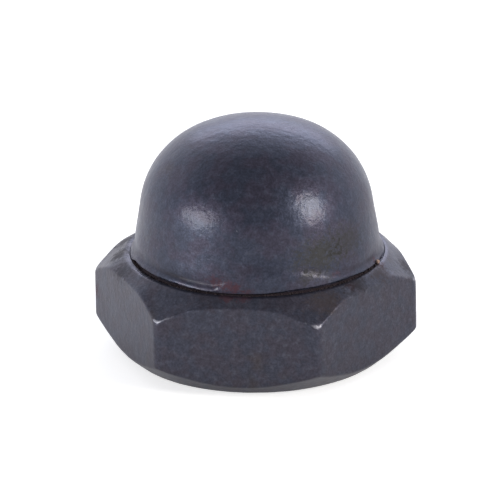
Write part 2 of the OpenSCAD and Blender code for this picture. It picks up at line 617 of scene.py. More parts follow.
@dataclass
class HexNut:
    """The hexagon nut, with its chamfers, cap recess and screw thread.

    Lengths are in millimetres. Slopes are in degrees from level, and the places and
    reaches at the tips in degrees from the nearest upright corner. The dents and chips
    are how deep the worn skin's unevenness is, and their sizes how wide it is.
    """

    flats: float
    height: float
    corner_reach: float
    bore_radius: float
    recess_floor: float
    rim_radius: float
    finish: OxideFinish
    node: str = "hex_nut"
    seat_radius: float = 7.6
    seat_off_centre: tuple[float, float] = (0.15, -0.04)
    land_off_centre: tuple[float, float] = (0.08, 0.0)
    seat_slope: float = 39.6
    top_slope: float = 39.4
    corner_drop: float = 0.13
    corner_drop_reach: float = 8.0
    arc_fill: float = 0.15
    arc_fill_place: float = 13.5
    arc_fill_reach: float = 7.0
    land_width: float = 0.27
    seam_gap: float = 0.1
    mouth_radius: float = 5.2
    thread_pitch: float = 1.5
    thread_end_chamfer: float = 0.4
    thread_softness: float = 0.35
    edge_wear_width: float = 0.16
    upright_wear: float = 0.3
    upright_wear_width: float = 0.3
    tip_wear_reach: float = 1.6
    arc_wear_reach: float = 14.0
    worn_edges: dict[SectionCorner, EdgeWear] = field(
        default_factory=lambda: {
            SectionCorner.SEAT: EdgeWear(0.2),
            SectionCorner.FLAT_LOW: EdgeWear(0.2, at_tips=0.25),
            SectionCorner.FLAT_HIGH: EdgeWear(0.34, beside_tips=0.1, at_tips=0.52),
            SectionCorner.LAND: EdgeWear(0.12),
        }
    )
    dents: float = 0.016
    dent_size: float = 2.4
    fine_dents: float = 0.006
    fine_dent_size: float = 0.5
    chips: float = 0.09
    chip_size: float = 0.8
    unchipped_share: float = 0.15
    seed: int = 3
    rounding: dict[SectionCorner, float] = field(
        default_factory=lambda: {
            SectionCorner.MOUTH: 0.08,
            SectionCorner.SEAT: 0.25,
            SectionCorner.FLAT_LOW: 0.16,
            SectionCorner.FLAT_HIGH: 0.11,
            SectionCorner.LAND: 0.13,
            SectionCorner.RECESS_EDGE: 0.04,
            SectionCorner.RECESS_FOOT: 0.1,
            SectionCorner.THREAD_END: 0.05,
        }
    )
    steps_after: dict[SectionCorner, int] = field(
        default_factory=lambda: {
            SectionCorner.MOUTH: 5,
            SectionCorner.SEAT: 12,
            SectionCorner.FLAT_LOW: 26,
            SectionCorner.FLAT_HIGH: 16,
            SectionCorner.LAND: 2,
            SectionCorner.RECESS_EDGE: 4,
            SectionCorner.RECESS_FOOT: 8,
        }
    )
    tip_rounding: float = 0.16
    tip_rounding_reach: float = 2.2
    corner_steps: int = 5
    steps_per_pitch: int = 22
    corner_columns: int = 16
    flat_columns: int = 30
    corner_span: float = 4.0

    def bearings(self) -> np.ndarray:
        """Spreads the mesh's columns, closer together at the six corners.

        Returns:
            The direction of each column.
        """
        span, turn = self.corner_span, 60.0
        corner = np.linspace(-span, span, self.corner_columns, endpoint=False)
        flat = np.linspace(span, turn - span, self.flat_columns, endpoint=False)
        sector = np.concatenate([corner, flat])
        return np.radians(np.concatenate([sector + turn * i for i in range(6)]))

    def from_corner(self, bearing: np.ndarray) -> np.ndarray:
        """The angle from each direction to the nearest upright corner, in radians."""
        sixth = math.pi / 3
        return (bearing + sixth / 2) % sixth - sixth / 2

    def wall_radius(self, bearing: np.ndarray) -> np.ndarray:
        """Measures the hexagon, with its corners rounded.

        Args:
            bearing: The direction of each column.

        Returns:
            The radius in each direction.
        """
        apothem = self.flats / 2
        sharp = apothem / math.cos(math.pi / 6)
        rounding = (sharp - self.corner_reach) / (1 / math.cos(math.pi / 6) - 1)
        centre = (apothem - rounding) / math.cos(math.pi / 6)
        off = self.from_corner(bearing)
        flat = apothem / np.cos(math.pi / 6 - np.abs(off))
        inside = np.maximum(rounding**2 - (centre * np.sin(off)) ** 2, 0.0)
        arc = centre * np.cos(off) + np.sqrt(inside)
        meets = math.pi / 6 - math.atan((apothem - rounding) * math.tan(math.pi / 6) / apothem)
        return np.where(np.abs(off) < meets, arc, flat)

    def thread_radius(self, bearing: np.ndarray, level: np.ndarray) -> np.ndarray:
        """The radius of the threaded bore, with its countersinks.

        Args:
            bearing: The direction of each column.
            level: The height of each row.

        Returns:
            One radius for each column and row.
        """
        depth = 5 / 8 * self.thread_pitch * math.cos(math.pi / 6)
        turn = (level[None, :] / self.thread_pitch - bearing[:, None] / (2 * math.pi)) % 1.0
        crest_half, flank = 1 / 8, 5 / 16
        away = np.abs(turn - 0.5)
        groove = np.clip((0.5 - crest_half - away) / flank, 0.0, 1.0)
        soft = self.thread_softness
        groove = groove * groove * (3 - 2 * groove) * soft + groove * (1 - soft)
        mouth = self.mouth_radius - level
        end = self.bore_radius + self.thread_end_chamfer - (self.recess_floor - level)
        cones = np.maximum(mouth, end)[None, :]
        return np.maximum(self.bore_radius + depth * groove, cones)

    def outline(self, bearing: np.ndarray) -> dict[SectionCorner, np.ndarray]:
        """Places the corners of the section before they are rounded.

        Args:
            bearing: The direction of each column.

        Returns:
            The radius and height of each corner, in each direction.
        """
        wall = self.wall_radius(bearing)
        flat = np.ones_like(wall)
        recess = from_axis(bearing, self.rim_radius + self.seam_gap, CAP_ASIDE)
        land_radius = self.rim_radius + self.seam_gap + self.land_width
        land = from_axis(bearing, land_radius, self.land_off_centre)
        seat = from_axis(bearing, self.seat_radius, self.seat_off_centre)
        aside_x, aside_y = self.seat_off_centre
        apart = np.hypot(wall * np.cos(bearing) - aside_x, wall * np.sin(bearing) - aside_y)
        low = (apart - self.seat_radius) * math.tan(math.radians(self.seat_slope))
        off = np.degrees(self.from_corner(bearing))
        low -= self.corner_drop * near(off, self.corner_drop_reach)
        high = self.height - (wall - land_radius) * math.tan(math.radians(self.top_slope))
        high += self.arc_fill * near(np.abs(off) - self.arc_fill_place, self.arc_fill_reach)
        thread_end = self.bore_radius + self.thread_end_chamfer
        pairs = {
            SectionCorner.MOUTH: (self.mouth_radius * flat, 0 * flat),
            SectionCorner.SEAT: (seat, 0 * flat),
            SectionCorner.FLAT_LOW: (wall, low),
            SectionCorner.FLAT_HIGH: (wall, high),
            SectionCorner.LAND: (land, self.height * flat),
            SectionCorner.RECESS_EDGE: (recess, self.height * flat),
            SectionCorner.RECESS_FOOT: (recess, self.recess_floor * flat),
            SectionCorner.THREAD_END: (thread_end * flat, self.recess_floor * flat),
        }
        return {corner: np.stack(pair, axis=1) for corner, pair in pairs.items()}

    def section(self, bearing: np.ndarray) -> tuple[np.ndarray, dict[SectionCorner, int]]:
        """Runs the closed section in each direction, with its corners rounded.

        Args:
            bearing: The direction of each column.

        Returns:
            Radius and height for each column and row, and the row in the middle of each
            rounded corner.
        """
        corners = self.outline(bearing)
        order = list(SectionCorner)
        ones = np.ones(len(bearing))
        tip = near(np.degrees(self.from_corner(bearing)), self.tip_rounding_reach)
        # The section runs on along the countersink and along the bore past its two ends
        mouth_side = np.stack([(self.mouth_radius - 1.0) * ones, ones], axis=1)
        wall_end = self.recess_floor - self.thread_end_chamfer
        bore_side = np.stack([self.bore_radius * ones, wall_end * ones], axis=1)
        rows, middles = [], {}
        for corner in order:
            place = corners[corner]
            before, after = mouth_side, bore_side
            if corner is not SectionCorner.MOUTH:
                before = corners[order[corner.value - 1]]
            if corner is not SectionCorner.THREAD_END:
                after = corners[order[corner.value + 1]]
            extra = self.tip_rounding * tip if corner is SectionCorner.FLAT_HIGH else 0.0
            cut = (self.rounding[corner] + extra) * ones
            curve = round_corner(before, place, after, cut, self.corner_steps)
            if rows:
                last, steps = rows[-1], self.steps_after[order[corner.value - 1]]
                rows += [last + (curve[0] - last) * share for share in np.arange(1, steps) / steps]
            middles[corner] = len(rows) + self.corner_steps // 2
            rows += curve
        # A cut along a slope of 45 degrees reaches 0.7 of its length up or down
        top = self.recess_floor - self.rounding[SectionCorner.THREAD_END] * 0.7
        bottom = self.rounding[SectionCorner.MOUTH] * 0.7
        steps = round((top - bottom) / self.thread_pitch * self.steps_per_pitch)
        levels = np.linspace(top, bottom, steps + 1)[1:-1]
        bore = self.thread_radius(bearing, levels)
        for i, level in enumerate(levels):
            rows.append(np.stack([bore[:, i], np.full(len(bearing), level)], axis=1))
        return np.stack(rows, axis=1), middles

    def wear_of(
        self, bearing: np.ndarray, section: np.ndarray, middles: dict[SectionCorner, int]
    ) -> np.ndarray:
        """How worn each point is: most at the tips, then along the outer edges.

        Args:
            bearing: The direction of each column.
            section: Radius and height for each column and row.
            middles: The row in the middle of each rounded corner.

        Returns:
            A share from 0 to 1 for each column and row.
        """
        worn = np.zeros(section.shape[:2])
        off = np.degrees(self.from_corner(bearing))
        tip, arc = near(off, self.tip_wear_reach), near(off, self.arc_wear_reach)
        for corner, edge in self.worn_edges.items():
            amount = edge.along + edge.beside_tips * arc + edge.at_tips * tip
            middle = section[:, middles[corner], :]
            away = np.linalg.norm(section - middle[:, None, :], axis=2)
            worn = np.maximum(worn, amount[:, None] * near(away, self.edge_wear_width))
        aside = off * math.radians(1.0) * self.corner_reach
        upright = self.upright_wear * near(aside, self.upright_wear_width)
        high = section[:, middles[SectionCorner.FLAT_HIGH], 1]
        low = section[:, middles[SectionCorner.FLAT_LOW], 1]
        radius, level = section[:, :, 0], section[:, :, 1]
        on_wall = (level < high[:, None]) & (level > low[:, None]) & (radius > self.flats / 2 - 0.3)
        return np.maximum(worn, upright[:, None] * on_wall)

    def mesh(self) -> bpy.types.Mesh:
        """Builds the nut's closed mesh, with its dents and chips.

        Returns:
            The mesh, in metres.
        """
        bearing = self.bearings()
        section, middles = self.section(bearing)
        wear = self.wear_of(bearing, section, middles).reshape(-1)
        radius, level = section[:, :, 0], section[:, :, 1]
        across = radius * np.cos(bearing)[:, None], radius * np.sin(bearing)[:, None]
        points = np.stack([*across, level], axis=2).reshape(-1, 3)
        made = closed_ring(self.node, points, section.shape[1])
        normals = np.array([v.normal[:] for v in made.vertices])
        uneven = self.dents * noise_at(points, self.dent_size, self.seed)
        fine = self.fine_dents * noise_at(points, self.fine_dent_size, self.seed + 1)
        uneven = uneven + fine
        chipped = noise_at(points, self.chip_size, self.seed + 2) + self.unchipped_share
        chipped = np.minimum(chipped, 0.0) * self.chips
        outer = (radius > self.rim_radius).reshape(-1)
        shift = np.where(outer, uneven + chipped * wear, 0.0)
        points = points + normals * shift[:, None]
        points[:, 2] = np.maximum(points[:, 2], 0.0)
        move_points(made, points)
        set_wear(made, wear)
        made.shade_smooth()
        return made

    def build(self, groups: FinishGroups) -> bpy.types.Object:
        """Builds the nut, dresses it and stands it in the place of its solid.

        Args:
            groups: The shared shader groups.

        Returns:
            The nut.
        """
        piece = new_object("hex_nut_steel", self.mesh())
        piece.data.materials.append(self.finish.material(groups))
        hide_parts(self.node)
        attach(piece, "root")
        return piece


@dataclass(frozen=True)
class LipShape:
    """One shape of the lip that is rolled out round the rim, in millimetres.

    Heights are above the lip's lower edge, and depths are in from its outer face.
    """

    neck_height: float
    neck_softness: float
    crease_height: float
    crease_depth: float
    crease_softness: float
    top_height: float
    top_depth: float
    top_softness: float


@dataclass(frozen=True)
class BareSpot:
    """A small bare fleck on the cap: its bearing, its height and its size."""

    bearing: float
    height: float
    size: float
    strength: float


@dataclass(frozen=True)
class RimStretch:
    """A stretch of the rim, in degrees, that is more worn than the rest, or that has more of the
    crease's dirt and painted shade.
    """

    bearing: float
    reach: float
    amount: float


def along_rim(
    base: np.ndarray | float, bearing: np.ndarray, stretches: tuple[RimStretch, ...]
) -> np.ndarray:
    """Adds each stretch's amount to a value that holds all round the rim.

    Args:
        base: The value all round the rim, or one for each point.
        bearing: The bearing of each point.
        stretches: The stretches with more.

    Returns:
        The value at each point.
    """
    total = base
    for stretch in stretches:
        total = total + stretch.amount * near(bearing - stretch.bearing, stretch.reach)
    return total


@dataclass
class DomeCap:
    """The drawn sheet-steel cap, with the lip that is rolled out round its rim.

    Lengths are in millimetres, and angles in degrees. The section is run twice, with
    a narrow lip and with a broad one. A geometry tree turns it round the axis, passes
    from one lip to the other, waves the lip and dents the skin. The lip is broad where
    both the start and the end are near: each fade says at which angle from its bearing
    the broad lip is gone, and at which it is full. The lip sinks at the droop and at
    the front, and it is pressed out and down at the closed bearing and opposite to it.
    """

    rim_radius: float
    foot_level: float
    nut_top: float
    crown_level: float
    finish: OxideFinish
    node: str = "dome_cap"
    wall: float = 0.8
    lean: float = 9.0
    shoulder_radius: float = 5.4
    crown_radius: float = 10.1
    lip_out: float = 0.05
    lip_rise: float = 0.18
    foot_set_in: float = 0.2
    narrow: LipShape = LipShape(
        neck_height=0.86,
        neck_softness=0.2,
        crease_height=0.37,
        crease_depth=0.215,
        crease_softness=0.13,
        top_height=0.14,
        top_depth=0.02,
        top_softness=0.12,
    )
    broad: LipShape = LipShape(
        neck_height=1.85,
        neck_softness=0.24,
        crease_height=1.36,
        crease_depth=0.255,
        crease_softness=0.22,
        top_height=0.93,
        top_depth=0.14,
        top_softness=0.2,
    )
    lip_edge_softness: float = 0.06
    foot_softness: float = 0.04
    # How far the crease's dirt and painted shade reach from it
    crease_reach: float = 0.14
    broad_start: float = 40.0
    broad_end: float = -20.0
    start_fade: tuple[float, float] = (54.0, 34.0)
    end_fade: tuple[float, float] = (76.0, 29.0)
    fold_pressed: float = 0.85
    droop_bearing: float = 74.0
    droop: float = 0.12
    front_bearing: float = -3.0
    front_droop: float = 0.1
    closed_bearing: float = 95.0
    closing: float = 0.1
    closed_droop: float = 0.19
    lip_reach: float = 0.75
    wave_height: float = 0.16
    wave_seed: float = 4.0
    dent_depth: float = 0.06
    dent_scale: float = 420.0
    lip_wear: float = 0.22
    lip_wear_reach: float = 0.14
    crown_wear: float = 0.12
    crown_wear_depth: float = 0.6
    rubbed: tuple[RimStretch, ...] = (
        RimStretch(-27.0, 12.0, 0.2),
        RimStretch(-12.0, 2.2, 0.5),
        RimStretch(66.0, 14.0, 0.16),
    )
    # How much of the crease's dirt and painted shade is left all round, how much that varies, and the
    # stretches where more is left
    shade_and_dirt_share: float = 0.16
    shade_and_dirt_spread: float = 0.06
    shade_and_dirt_stretches: tuple[RimStretch, ...] = (
        RimStretch(-33.0, 13.0, 0.6),
        RimStretch(36.0, 8.0, 0.35),
        RimStretch(58.0, 4.0, 0.4),
        RimStretch(74.0, 4.0, 0.4),
    )
    spots: tuple[BareSpot, ...] = (
        BareSpot(-11.5, 6.5, 0.12, 1.0),
        BareSpot(-24.0, 6.55, 0.1, 0.6),
        BareSpot(-48.0, 8.0, 0.1, 0.9),
        BareSpot(-2.4, 10.0, 0.08, 0.8),
    )
    steps_around: int = 320
    side_steps: int = 18
    lip_steps: int = 5
    skin_step: float = 0.16

    def lip_low(self) -> float:
        """The level of the lip's lower edge."""
        return self.nut_top + self.lip_rise

    def arc(self, centre: np.ndarray, radius: float, start: float, end: float) -> list[np.ndarray]:
        """Runs an arc.

        Args:
            centre: The radius and height of its centre.
            radius: Its own radius.
            start: The angle that it starts at, in radians.
            end: The angle that it ends at.

        Returns:
            Points along it, both ends included.
        """
        steps = max(3, math.ceil(abs(end - start) * radius / self.skin_step))
        turns = np.linspace(start, end, steps + 1)
        return [centre + radius * np.array([math.cos(t), math.sin(t)]) for t in turns]

    def line(self, start: np.ndarray, end: np.ndarray, steps: int) -> list[np.ndarray]:
        """Points along a straight line, both ends included."""
        return [start + (end - start) * i / steps for i in range(steps + 1)]

    def dome(self, inset: float, from_level: float) -> list[np.ndarray]:
        """Runs the dome's section, at a depth inside its outer face.

        Args:
            inset: The depth inside the outer face.
            from_level: The level that the section starts at.

        Returns:
            The points of the section, from its lowest one up to the pole.
        """
        lean = math.radians(self.lean)
        out = np.array([math.cos(lean), math.sin(lean)])
        up = np.array([-math.sin(lean), math.cos(lean)])
        side = self.rim_radius - self.lip_out
        crown = np.array([0.0, self.crown_level - self.crown_radius])
        first = np.array([side, self.nut_top]) - self.shoulder_radius * out
        gap = first - crown
        along = float(gap @ up)
        apart = float(gap @ gap) - (self.crown_radius - self.shoulder_radius) ** 2
        shoulder = first + (math.sqrt(along**2 - apart) - along) * up
        turn = math.atan2(shoulder[1] - crown[1], shoulder[0] - crown[0])
        start_radius = side - (from_level - self.nut_top) * math.tan(lean) - inset / math.cos(lean)
        start = np.array([start_radius, from_level])
        round_shoulder = self.arc(shoulder, self.shoulder_radius - inset, lean, turn)
        round_crown = self.arc(crown, self.crown_radius - inset, turn, math.pi / 2)
        side_run = self.line(start, round_shoulder[0], self.side_steps)
        return side_run[:-1] + round_shoulder[:-1] + round_crown

    def section(self, lip: LipShape) -> np.ndarray:
        """Runs the whole section, from the outer pole round the lip to the inner pole.

        Args:
            lip: The shape of its lip.

        Returns:
            The radius and height of each point.
        """
        low, outer = self.lip_low(), self.rim_radius
        foot = outer - self.foot_set_in
        dome = self.dome(0.0, low + lip.neck_height + 2 * lip.neck_softness)[::-1]
        corners = [
            dome[-1],
            self.dome(0.0, low + lip.neck_height)[0],
            np.array([outer - lip.crease_depth, low + lip.crease_height]),
            np.array([outer - lip.top_depth, low + lip.top_height]),
            np.array([outer, low]),
            np.array([foot, low + 0.01]),
            np.array([foot, self.foot_level]),
        ]
        cuts = [lip.neck_softness, lip.crease_softness, lip.top_softness]
        cuts += [self.lip_edge_softness, self.foot_softness]
        run = list(dome)
        for i, cut in enumerate(cuts, start=1):
            before, place, after = (corners[k][None, :] for k in (i - 1, i, i + 1))
            curve = [row[0] for row in round_corner(before, place, after, cut, self.lip_steps)]
            run += self.line(run[-1], curve[0], self.lip_steps)[1:-1] + curve
        # The foot's two edges are broken by small chamfers
        inner = self.dome(self.wall, self.foot_level + 0.05)
        run += self.line(run[-1], np.array([foot, self.foot_level + 0.06]), self.lip_steps)[1:]
        run.append(np.array([foot - 0.06, self.foot_level]))
        run.append(np.array([inner[0][0] + 0.05, self.foot_level]))
        return np.array(run + inner)

    def section_mesh(self) -> bpy.types.Mesh:
        """Builds the section as a mesh, with what the tree needs stored on it.

        Returns:
            The section with the narrow lip, in metres.
        """
        narrow, broad = self.section(self.narrow), self.section(self.broad)
        crease_radius = self.rim_radius - self.narrow.crease_depth
        crease = np.array([crease_radius, self.lip_low() + self.narrow.crease_height])
        # Dirt and painted shade are strongest at the crease and fade away from it
        crease_shade_and_dirt = near(np.linalg.norm(narrow - crease, axis=1), self.crease_reach)
        run = bpy.data.meshes.new("cap_section")
        places = [np.stack([s[:, 0], 0 * s[:, 0], s[:, 1]], axis=1) * MM for s in (narrow, broad)]
        run.from_pydata(places[0].tolist(), [(i, i + 1) for i in range(len(narrow) - 1)], [])
        fill = self.fold_fill((narrow + broad) / 2) * MM
        for name, vectors in (("broad", places[1]), ("fill", fill)):
            layer = run.attributes.new(name, "FLOAT_VECTOR", "POINT")
            layer.data.foreach_set("vector", vectors.astype(np.float32).ravel())
        layer = run.attributes.new("crease_shade_and_dirt", "FLOAT", "POINT")
        layer.data.foreach_set("value", crease_shade_and_dirt.astype(np.float32))
        return run

    def fold_fill(self, section: np.ndarray) -> np.ndarray:
        """How far the fold is pressed out where one lip passes into the other.

        Args:
            section: The section half-way between the two lips.

        Returns:
            The shift that brings each point of the fold out to the cap's straight side.
        """
        radius, level = section[:, 0], section[:, 1]
        side = self.rim_radius - self.lip_out
        side = side - (level - self.nut_top) * math.tan(math.radians(self.lean))
        # The fold ends just above the lip's edge and just above the broad lip's neck
        rim = int(np.argmax(level < self.lip_low() + 0.08))
        above = self.lip_low() + self.broad.neck_height + 0.3
        in_fold = (np.arange(len(level)) < rim) & (level < above)
        fill = np.zeros((len(section), 3))
        fill[:, 0] = self.fold_pressed * (side - radius) * in_fold
        return fill

    def tree(self, finish: bpy.types.Material) -> bpy.types.NodeTree:
        """Builds the geometry tree that turns the section round the axis.

        Args:
            finish: The material that the tree puts on the cap.

        Returns:
            The tree, whose inputs are the sizes of the turning, the lip and the dents.
        """
        turns = ("Broad Start", "Broad End", "Droop Turn", "Front Turn", "Closed Turn")
        falls = ("Droop", "Front Droop", "Closed Droop", "Closing", "Wave Height", "Dent Depth")
        places = ("Lip Level", "Lip Reach", "Foot Level")
        takes = {
            Kind.GEOMETRY: ("Section",),
            Kind.INT: ("Steps Around",),
            Kind.FLOAT: (*turns, *falls, *places, "Wave Seed", "Dent Scale"),
        }
        sheet = new_group("GeometryNodeTree", "turned_cap", takes, {Kind.GEOMETRY: ("Cap",)})
        given = sheet.add("NodeGroupInput").outputs
        counted = sheet.add("GeometryNodeAttributeDomainSize", {"Geometry": given["Section"]})
        along = counted.outputs["Point Count"]
        columns = sheet.plus(given["Steps Around"], 1.0)
        grid = sheet.add("GeometryNodeMeshGrid", {"Vertices X": columns, "Vertices Y": along})
        index = sheet.add("GeometryNodeInputIndex").outputs[0]
        row = sheet.math("MODULO", index, along)
        column = sheet.math("FLOOR", sheet.over(sheet.plus(index, 0.5), along))
        share = sheet.over(column, given["Steps Around"])
        turn = sheet.times(share, 2 * math.pi)
        place = sheet.add("GeometryNodeInputPosition").outputs[0]
        feeds = {"Vector": self.blended(sheet, given, place, row, turn), "Angle": turn}
        spun = sheet.add("ShaderNodeVectorRotate", feeds, rotation_type="Z_AXIS")
        marked = self.mark_crease_shade_and_dirt(sheet, given, grid.outputs["Mesh"], row)
        feeds = {"Geometry": marked, "Position": spun.outputs[0]}
        turned = sheet.add("GeometryNodeSetPosition", feeds)
        feeds = {"Geometry": turned.outputs[0], "Distance": 0.002 * MM}
        closed = sheet.add("GeometryNodeMergeByDistance", feeds)
        waves, dents = self.lip_offset(sheet, given, place), self.dents(sheet, given, place)
        offset = sheet.vector("ADD", waves, dents)
        feeds = {"Geometry": closed.outputs[0], "Offset": offset}
        waved = sheet.add("GeometryNodeSetPosition", feeds)
        smooth = sheet.add("GeometryNodeSetShadeSmooth", {"Geometry": waved.outputs[0]})
        real = sheet.add("GeometryNodeRealizeInstances", {"Geometry": smooth.outputs[0]})
        feeds = {"Geometry": real.outputs[0], "Material": finish}
        dressed = sheet.add("GeometryNodeSetMaterial", feeds)
        sheet.add("NodeGroupOutput", {"Cap": dressed.outputs[0]})
        return sheet.tree

    def blended(
        self,
        sheet: Wiring,
        given: bpy.types.NodeOutputs,
        place: bpy.types.NodeSocket,
        row: bpy.types.NodeSocket,
        turn: bpy.types.NodeSocket,
    ) -> bpy.types.NodeSocket:
        """Wires how the section passes from the narrow lip to the broad one.

        Args:
            sheet: The geometry tree.
            given: The tree's own inputs.
            place: The position of each point.
            row: Which point of the section each point of the grid comes from.
            turn: The direction of each point of the grid, in radians.

        Returns:
            The place of each point in the section, before it is turned.
        """
        picked = []
        stored = [sheet.named(name, "FLOAT_VECTOR") for name in ("broad", "fill")]
        for source in (place, *stored):
            feeds = {"Geometry": given["Section"], "Value": source, "Index": row}
            pick = sheet.add("GeometryNodeSampleIndex", feeds, data_type="FLOAT_VECTOR", domain="POINT")
            picked.append(pick.outputs[0])
        narrow, broad, fill = picked
        starts = sheet.math("COSINE", sheet.minus(turn, given["Broad Start"]))
        gone, full = (math.cos(math.radians(angle)) for angle in self.start_fade)
        starts = sheet.ramp(starts, gone, full)
        ends = sheet.math("COSINE", sheet.minus(turn, given["Broad End"]))
        gone, full = (math.cos(math.radians(angle)) for angle in self.end_fade)
        ends = sheet.ramp(ends, gone, full)
        broadness = sheet.times(starts, ends)
        change = sheet.vector("MULTIPLY", sheet.vector("SUBTRACT", broad, narrow), broadness)
        run = sheet.vector("ADD", narrow, change)
        halfway = sheet.times(starts, sheet.minus(1.0, starts))
        halfway = sheet.times(halfway, 4.0)
        return sheet.vector("ADD", run, sheet.vector("MULTIPLY", fill, halfway))

    def mark_crease_shade_and_dirt(
        self,
        sheet: Wiring,
        given: bpy.types.NodeOutputs,
        mesh: bpy.types.NodeSocket,
        row: bpy.types.NodeSocket,
    ) -> bpy.types.NodeSocket:
        """Wires how the crease's dirt and painted shade are carried round with the section.

        Args:
            sheet: The geometry tree.
            given: The tree's own inputs.
            mesh: The grid that is to be turned.
            row: Which point of the section each point of the grid comes from.

        Returns:
            The grid with the crease's dirt and painted shade stored.
        """
        feeds = {"Geometry": given["Section"], "Value": sheet.named("crease_shade_and_dirt", "FLOAT"), "Index": row}
        pick = sheet.add("GeometryNodeSampleIndex", feeds, data_type="FLOAT", domain="POINT")
        feeds = {"Geometry": mesh, "Name": "crease_shade_and_dirt", "Value": pick.outputs[0]}
        kind = "GeometryNodeStoreNamedAttribute"
        return sheet.add(kind, feeds, data_type="FLOAT", domain="POINT").outputs[0]

    def lip_offset(
        self, sheet: Wiring, given: bpy.types.NodeOutputs, place: bpy.types.NodeSocket
    ) -> bpy.types.NodeSocket:
        """Wires how the lip waves, sinks at two places and is pressed out at two ends.

        Args:
            sheet: The geometry tree.
            given: The tree's own inputs.
            place: The position of each point.

        Returns:
            The offset of each point.
        """
        # Each sinking is eased in over a range of the cosine of the angle from its bearing
        parts = sheet.parts(place)
        flat = sheet.add("ShaderNodeCombineXYZ", {"X": parts["X"], "Y": parts["Y"]}).outputs[0]
        heading = sheet.vector("NORMALIZE", flat)
        turn = sheet.math("ARCTAN2", parts["Y"], parts["X"])
        off_lip = sheet.math("ABSOLUTE", sheet.minus(parts["Z"], given["Lip Level"]))
        on_lip = sheet.ramp(off_lip, given["Lip Reach"], 0.0)
        feeds = {"Vector": heading, "W": given["Wave Seed"], "Scale": 1.8, "Detail": 3.0}
        wave = sheet.add("ShaderNodeTexNoise", feeds, noise_dimensions="4D").outputs[0]
        lift = sheet.times(sheet.minus(wave, 0.5), given["Wave Height"])
        at_droop = sheet.math("COSINE", sheet.minus(turn, given["Droop Turn"]))
        sink = sheet.times(sheet.ramp(at_droop, 0.94, 1.0), given["Droop"])
        at_front = sheet.math("COSINE", sheet.minus(turn, given["Front Turn"]))
        dip = sheet.times(sheet.ramp(at_front, 0.87, 0.98), given["Front Droop"])
        at_end = sheet.math("COSINE", sheet.minus(turn, given["Closed Turn"]))
        pressed = sheet.ramp(sheet.math("ABSOLUTE", at_end), 0.95, 0.985)
        lift = sheet.times(lift, sheet.minus(1.0, pressed))
        for fall in (sink, dip, sheet.times(pressed, given["Closed Droop"])):
            lift = sheet.minus(lift, fall)
        lift = sheet.times(lift, on_lip)
        out = sheet.times(sheet.times(pressed, on_lip), given["Closing"])
        rise = sheet.add("ShaderNodeCombineXYZ", {"Z": lift}).outputs[0]
        return sheet.vector("ADD", sheet.vector("MULTIPLY", heading, out), rise)

    def dents(
        self, sheet: Wiring, given: bpy.types.NodeOutputs, place: bpy.types.NodeSocket
    ) -> bpy.types.NodeSocket:
        """Wires the shallow dents of the skin above the recess.

        Args:
            sheet: The geometry tree.
            given: The tree's own inputs.
            place: The position of each point.

        Returns:
            The offset of each point.
        """
        level = sheet.parts(place)["Z"]
        feeds = {"Vector": place, "W": given["Wave Seed"], "Scale": given["Dent Scale"], "Detail": 2.0}
        dent = sheet.add("ShaderNodeTexNoise", feeds, noise_dimensions="4D").outputs[0]
        dent = sheet.times(sheet.minus(dent, 0.5), given["Dent Depth"])
        dent = sheet.times(dent, sheet.ramp(level, given["Foot Level"], given["Lip Level"]))
        normal = sheet.add("GeometryNodeInputNormal").outputs[0]
        return sheet.vector("MULTIPLY", normal, dent)

    def wear_of(self, points: np.ndarray) -> np.ndarray:
        """How worn each point is: on the lip's top edge, at the spots and on the crown.

        Args:
            points: One row of x, y and z for each point, in millimetres.

        Returns:
            A share from 0 to 1 for each point.
        """
        radius, level = np.hypot(points[:, 0], points[:, 1]), points[:, 2]
        bearing = np.degrees(np.arctan2(points[:, 0], -points[:, 1]))
        top = self.nut_top + self.lip_rise + self.narrow.top_height - 0.05
        on_edge = near(np.hypot(radius - self.rim_radius, level - top), self.lip_wear_reach)
        on_crown = near(self.crown_level - level, self.crown_wear_depth)
        lip = along_rim(self.lip_wear, bearing, self.rubbed) * on_edge
        worn = np.maximum(lip, self.crown_wear * on_crown)
        for spot in self.spots:
            turn = np.radians(bearing - spot.bearing)
            apart = np.hypot(radius * np.sin(turn), level - spot.height)
            same_side = (np.cos(turn) > 0) & (radius > self.rim_radius - self.wall)
            worn = np.maximum(worn, spot.strength * near(apart, spot.size) * same_side)
        return worn

    def thin_crease_shade_and_dirt(self, mesh: bpy.types.Mesh, points: np.ndarray) -> None:
        """Leaves the crease's dirt and painted shade thick in a few places only, as the dirt is on the
        real cap.

        Args:
            mesh: The cap's mesh.
            points: Its points, in millimetres.
        """
        bearing = np.degrees(np.arctan2(points[:, 0], -points[:, 1]))
        share = self.shade_and_dirt_share + self.shade_and_dirt_spread * noise_at(points, 1.5, 9)
        share = along_rim(share, bearing, self.shade_and_dirt_stretches)
        crease_shade_and_dirt = np.empty(len(points), dtype=np.float32)
        mesh.attributes["crease_shade_and_dirt"].data.foreach_get("value", crease_shade_and_dirt)
        crease_shade_and_dirt *= np.clip(share, 0.0, 1.0).astype(np.float32)
        mesh.attributes["crease_shade_and_dirt"].data.foreach_set("value", crease_shade_and_dirt)

